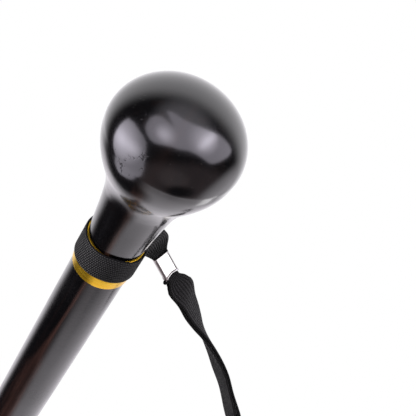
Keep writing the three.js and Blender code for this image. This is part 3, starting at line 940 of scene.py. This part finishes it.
bandMiddle = Vector((0, 0, collarHigh.z / mm - strap["bandDrop"] - strap["bandHeight"] / 2))
ringRadius = collarHigh.x / mm + strap["bandGap"] + strap["bandTape"] / 2
crimpLine = strapDirection(strap["slope"])
crimpAcross = widthDirection(crimpLine, strap["crimpTurn"])
crimpDeep = crimpLine.cross(crimpAcross).normalized()
crimpTurned = Matrix((crimpAcross, crimpDeep, crimpLine)).transposed().to_4x4()
crimpTop = Vector((-strap["crimpAside"], strap["crimpOut"], bandMiddle.z - strap["crimpDrop"]))
crimpMouth = crimpTop + crimpLine * strap["crimpLength"]
loopPivot = crimpMouth + crimpLine * (strap["pivot"] + strap["bandGap"])
# The clip lies pulled in a little from the line of the loop
tuck = lineOf(*strap["crimpTuckLine"]) * strap["crimpTuck"]
crimpTop += tuck
crimpMouth += tuck


def station(centre, across, width, thickness, pleat=0.0):
    return {"centre": centre, "across": across, "width": width, "thickness": thickness, "pleat": pleat}


def bezierAt(points, share):
    rest = 1 - share
    a, b, c, d = points
    return a * rest ** 3 + b * 3 * rest ** 2 * share + c * 3 * rest * share ** 2 + d * share ** 3


def bezierSlope(points, share):
    rest = 1 - share
    a, b, c, d = points
    return ((b - a) * rest ** 2 + (c - b) * 2 * rest * share + (d - c) * share ** 2).normalized()


def ringStation(angle):
    edges = bandEdges
    turn = (angle + 180) % 360 - 180
    high = (edges["upper"] + edges["upperTilt"] * cos(radians(turn - edges["upperAt"]))
            + edges["push"] * exp(-((turn - edges["pushAt"]) / edges["pushSpread"]) ** 2))
    low = (edges["lower"] + edges["lowerTilt"] * cos(radians(turn - edges["lowerAt"]))
           + edges["lowerWave"] * cos(radians(2 * (turn - edges["lowerWaveAt"]))))
    centre = bandMiddle + lineOf(angle, 0) * ringRadius + upright * (high + low) / 2
    return station(centre, upright, strap["bandHeight"] + high - low, strap["bandTape"])


def bandStations():
    # One tape: out of the crimp, up the tail, once round the collar, and back down the tail
    tape, height = strap["bandTape"], strap["bandHeight"]
    tailLine = lineOf(strap["tailTurn"], 0)
    sideways = upright.cross(tailLine)
    joinPoint = bandMiddle + tailLine * strap["tailReach"] + upright * strap["tailRise"]
    bend = (joinPoint - crimpTop).length * strap["tailBend"]
    tailCurve = (joinPoint, joinPoint + tailLine * bend, crimpTop - crimpLine * bend, crimpTop)

    def tailPart(hand, centre, along, share):
        across = upright.lerp(-crimpAcross, min(share, 1)).normalized()
        deep = along.cross(across).normalized()
        width = height + (strap["gatheredWidth"] - height) * easeBetween(share, *strap["gathering"])
        thickness = tape + (strap["gatheredTape"] - tape) * min(share, 1)
        middle = centre + deep * hand * (thickness + strap["tapeGap"]) / 2
        return station(middle, across, width, thickness, easeBetween(share, *strap["tailPleats"]))

    def tailHalf(hand):
        gathered = strap["gathering"][1]
        stations = [tailPart(hand, crimpTop + crimpLine * inside, crimpLine, gathered)
                    for inside in strap["tailEnds"]]
        for step in range(strap["tailSteps"] + 1):
            share = 1 - step / strap["tailSteps"]
            stations.append(tailPart(hand, bezierAt(tailCurve, share), bezierSlope(tailCurve, share), share))
        return stations

    def splitHalf(hand):
        angle = strap["tailTurn"] - hand * strap["tailSplit"]
        first = ringStation(angle)
        start = first["centre"]
        tangent = upright.cross(lineOf(angle, 0)) * hand
        end = joinPoint - sideways * hand * (tape + strap["tapeGap"]) / 2
        reach = (start - end).length * strap["splitBend"]
        curve = (start, start + tangent * reach, end - tailLine * reach / 2, end)
        stations = []
        for step in range(1, strap["splitSteps"]):
            share = step / strap["splitSteps"]
            width = height + (first["width"] - height) * share
            stations.append(station(bezierAt(curve, 1 - share), upright, width, tape))
        return stations

    sweep = 2 * (180 - strap["tailSplit"])
    ring = [ringStation(strap["tailTurn"] - strap["tailSplit"] - sweep * step / strap["ringSteps"])
            for step in range(strap["ringSteps"] + 1)]
    return tailHalf(1) + splitHalf(1) + ring + splitHalf(-1)[::-1] + tailHalf(-1)[::-1]


def loopLine():
    steps = strap["lineSteps"]
    stride = strap["loopLength"] / steps
    points = [loopPivot.copy()]
    for step in range(steps):
        slope = readTable(slopeShares, (step + 0.5) / steps)
        points.append(points[step] + strapDirection(slope) * stride)

    def lineAt(share):
        place = min(max(share, 0), 1) * steps
        step = min(floor(place), steps - 1)
        along = strapDirection(readTable(slopeShares, share))
        point = points[step].lerp(points[step + 1], place - step)
        return point, along, widthDirection(along, readSmooth(turnShares, share))

    return lineAt


def loopStations():
    # Two runs of one tape, out of the crimp and back, with a round turn at the far end
    lineAt = loopLine()
    tape, gap = strap["loopTape"], strap["tapeGap"]
    turnRadius = (strap["loopOpening"] + tape) / 2
    straight = 1 - turnRadius / strap["loopLength"]

    def onLine(share, shift):
        point, along, across = lineAt(share)
        deep = along.cross(across).normalized()
        width = strap["loopWidth"] * readSmooth(widthShares, share)
        swell = strap["bulge"] * exp(-((share - strap["bulgeAt"]) / strap["bulgeSpread"]) ** 2)
        middle = point + sideLine.cross(along) * swell + deep * shift
        return station(middle, across, width, tape, 1 - easeBetween(share, *strap["loopPleats"]))

    def layer(hand):
        stations = []
        for inside in strap["loopEnds"]:
            centre = crimpMouth - crimpLine * inside + crimpDeep * hand * (gap + tape) / 2
            stations.append(station(centre, crimpAcross, strap["loopGathered"], tape, 1))
        for step in range(strap["loopSteps"] + 1):
            share = straight * step / strap["loopSteps"]
            opening = gap + (strap["loopOpening"] - gap) * readTable(openingShares, share)
            stations.append(onLine(share, hand * (opening + tape) / 2))
        return stations

    turnBack = []
    for step in range(1, strap["turnSteps"]):
        angle = pi * step / strap["turnSteps"]
        share = straight + turnRadius * sin(angle) / strap["loopLength"]
        turnBack.append(onLine(share, turnRadius * cos(angle)))
    return layer(1) + turnBack + layer(-1)[::-1]


# How a flat grid becomes a tape: steps between stations, the share of its width that one flat side takes,
# how far the rounded edge stands out, and how round the ribs are
rolling = dict(fine=12, sideShare=0.46, edgeOut=0.7, ribRound=0.6, weld=0.0005)


def frameAlong(stations, stride):
    # Even steps along the smooth line through the stations
    fine = rolling["fine"]
    line = curveThrough([spot["centre"] for spot in stations], fine)
    lengths = [0.0]
    for before, after in zip(line, line[1:]):
        lengths.append(lengths[-1] + (after - before).length)
    total = lengths[-1]
    count = round(total / stride)
    frames = []
    place = 0
    for step in range(count + 1):
        reach = total * step / count
        while place < len(line) - 2 and lengths[place + 1] < reach:
            place += 1
        share = (reach - lengths[place]) / max(lengths[place + 1] - lengths[place], 1e-9)
        where = (place + share) / fine
        row = min(floor(where), len(stations) - 2)
        blend = where - row
        first, second = stations[row], stations[row + 1]
        centre = line[place].lerp(line[place + 1], share)
        along = (line[min(place + 2, len(line) - 1)] - line[max(place - 1, 0)]).normalized()
        across = first["across"].lerp(second["across"], blend).normalized()
        deep = along.cross(across).normalized()
        values = {key: first[key] + (second[key] - first[key]) * blend
                  for key in ("width", "thickness", "pleat")}
        frames.append({"centre": centre, "deep": deep, "across": deep.cross(along), "reach": reach, **values})
    return frames


def layWebbing(stations, tape):
    # A flat grid is rolled into the tape's closed section and laid along the frames
    frames = frameAlong(stations, tape["stride"])
    rows = len(frames) - 1
    ribs = tape["ribs"]
    mesh = bmesh.new()
    uvLayer = mesh.loops.layers.uv.new("UVMap")
    bmesh.ops.create_grid(mesh, x_segments=tape["around"], y_segments=rows, size=0.5)

    def gridPlace(vert):
        # Frame, side of the tape, and the place across that side: past 1 it is on the rounded edge
        share = vert.co.x + 0.5
        half = 0 if share < 0.5 else 1
        return frames[round((vert.co.y + 0.5) * rows)], half, (share - 0.5 * half) / rolling["sideShare"]

    for face in mesh.faces:
        for loop in face.loops:
            spot, half, local = gridPlace(loop.vert)
            local = min(local, 1)
            across = (1 - local if half == 0 else local) * ribs * tape["ribPitch"]
            loop[uvLayer].uv = (across * mm, spot["reach"] * mm)
    for vert in mesh.verts:
        spot, half, local = gridPlace(vert)
        side = 1 - 2 * half
        deep = spot["thickness"] / 2
        edge = spot["width"] / 2 - deep * rolling["edgeOut"]
        if local <= 1:
            across = side * edge * (1 - 2 * local)
            ribPlace = (1 - local if half == 0 else local) * ribs
            rib = min(floor(ribPlace + 1e-6), ribs - 1)
            crown = max(sin(pi * (ribPlace - rib)), 0)
            low = tape["ribDepth"] + (tape["pleatDepth"] - tape["ribDepth"]) * spot["pleat"]
            relief = -low * (1 - crown ** rolling["ribRound"])
            wave = cos(2 * pi * (spot["reach"] / tape["stitchPitch"] + rib / 2))
            relief += tape["stitchDepth"] * crown * wave * (1 - spot["pleat"])
            height = side * (deep + relief)
        else:
            turn = pi * (local - 1) * rolling["sideShare"] / (0.5 - rolling["sideShare"])
            low = tape["ribDepth"] * abs(cos(turn))
            across = -side * (edge + deep * rolling["edgeOut"] * sin(turn))
            height = side * (deep - low) * cos(turn)
        vert.co = spot["centre"] + spot["across"] * across + spot["deep"] * height
    bmesh.ops.remove_doubles(mesh, verts=mesh.verts, dist=rolling["weld"])
    rims = [edge for edge in mesh.edges if len(edge.link_faces) == 1]
    bmesh.ops.holes_fill(mesh, edges=rims, sides=0)
    bmesh.ops.recalc_face_normals(mesh, faces=mesh.faces)
    bmesh.ops.scale(mesh, vec=(mm, mm, mm), verts=mesh.verts)
    return mesh


tapeSharp = 70


def makeBand():
    mesh = layWebbing(bandStations(), bandTape)
    finishPiece("woven_band", mesh, bandWeave, "strap", "strap_band", tapeSharp)


def makeLoop():
    mesh = layWebbing(loopStations(), loopTape)
    piece = finishPiece("woven_loop", mesh, loopWeave, None, "wrist_loop", tapeSharp)
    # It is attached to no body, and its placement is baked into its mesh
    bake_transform(piece)


clipShape = dict(
    width=7, depth=3.7, wall=0.5, seam=0.8, corner=0.9, flare=0.25, flareReach=0.75,
    bow=1.5, slant=1.0, frontSteps=12, cornerSteps=6, lengthSteps=26, edgeRound=0.12,
    rimAngle=60, sharp=40, darkSidesFrom=0.6, darkSidesFull=0.1,
)


def seatByClip(mesh, place):
    # Turns the mesh into the clip's frame at a place in millimetres
    seat = Matrix.Scale(mm, 4) @ Matrix.Translation(place) @ crimpTurned
    bmesh.ops.transform(mesh, matrix=seat, verts=mesh.verts)
    bmesh.ops.recalc_face_normals(mesh, faces=mesh.faces)


def makeClip():
    shape = clipShape
    corner, length = shape["corner"], strap["crimpLength"]
    halfWidth, halfDepth = shape["width"] / 2, shape["depth"] / 2
    flatWidth, flatDepth = halfWidth - corner, halfDepth - corner
    # Open strip from one side of the seam round to the other
    section = [Vector((-shape["seam"] / 2, halfDepth))]
    for right, rise, start in ((-1, 1, 90), (-1, -1, 180), (1, -1, 270), (1, 1, 0)):
        for step in range(shape["cornerSteps"] + 1):
            angle = radians(start + 90 * step / shape["cornerSteps"])
            section.append(Vector((right * flatWidth + corner * cos(angle),
                                   rise * flatDepth + corner * sin(angle))))
        if (right, rise) == (-1, -1):
            for step in range(1, shape["frontSteps"]):
                section.append(Vector((flatWidth * (2 * step / shape["frontSteps"] - 1), -halfDepth)))
    section.append(Vector((shape["seam"] / 2, halfDepth)))
    mesh = bmesh.new()
    points = [mesh.verts.new((place.x, place.y, 0)) for place in section]
    edges = [mesh.edges.new(pair) for pair in zip(points, points[1:])]
    for step in range(shape["lengthSteps"]):
        grown = bmesh.ops.extrude_edge_only(mesh, edges=edges)["geom"]
        edges = [item for item in grown if isinstance(item, bmesh.types.BMEdge)]
        moved = [item for item in grown if isinstance(item, bmesh.types.BMVert)]
        bmesh.ops.translate(mesh, vec=(0, 0, length / shape["lengthSteps"]), verts=moved)
    darkSides = mesh.verts.layers.float.new("darkSides")
    for vert in mesh.verts:
        x, y, z = vert.co
        # The side walls get a dark brown colour, the faces keep the clean chrome
        vert[darkSides] = easeBetween(abs(x), halfWidth - corner * shape["darkSidesFrom"],
                                    halfWidth - corner * shape["darkSidesFull"])
        # The loop's end is cut askew, and the front face in an arc
        bow = max(1 - (x / halfWidth) ** 2, 0) if y < 0 else 0
        cut = shape["slant"] * (0.5 + 0.5 * x / halfWidth) - shape["bow"] * bow
        grow = shape["flare"] * exp(-(min(z, length - z) / shape["flareReach"]) ** 2)
        out = Vector((x / halfWidth, y / halfDepth)).normalized() * grow
        vert.co = (x + out.x, y + out.y, z + cut * (z / length) ** 2)
    bmesh.ops.recalc_face_normals(mesh, faces=mesh.faces)
    bmesh.ops.solidify(mesh, geom=mesh.faces[:], thickness=shape["wall"])
    rims = [edge for edge in mesh.edges if edge.calc_face_angle(0) > radians(shape["rimAngle"])]
    bmesh.ops.bevel(mesh, geom=rims, offset=shape["edgeRound"], offset_type="OFFSET", segments=2,
                    profile=0.5, affect="EDGES", material=-1)
    bmesh.ops.recalc_face_normals(mesh, faces=mesh.faces)
    seatByClip(mesh, crimpTop)
    finishPiece("chrome_clip", mesh, chrome, "strap", "crimp_sleeve", shape["sharp"])


stubShape = dict(radius=1, long=1.25, rows=12, around=18, wobble=0.12, wobbleScale=1.7,
                 wobbleAt=(3, 5, 1), aside=0.1, below=1.8, back=0.3)


def makeStub():
    # The tape's folded end, squeezed out beside the clip
    shape = stubShape
    mesh = bmesh.new()
    bmesh.ops.create_uvsphere(mesh, u_segments=shape["around"], v_segments=shape["rows"],
                              radius=shape["radius"], calc_uvs=True)
    for vert in mesh.verts:
        vert.co.x *= shape["long"]
        rough = noise.noise(vert.co * shape["wobbleScale"] + Vector(shape["wobbleAt"]))
        vert.co += vert.co.normalized() * shape["wobble"] * rough
    place = (crimpMouth + crimpAcross * (clipShape["width"] / 2 + shape["aside"])
             + crimpLine * shape["below"] - crimpDeep * shape["back"])
    seatByClip(mesh, place)
    finishPiece("tape_stub", mesh, loopWeave, "strap", None)


makeBand()
makeLoop()
makeClip()
makeStub()
print("band, loop and clip are in place")
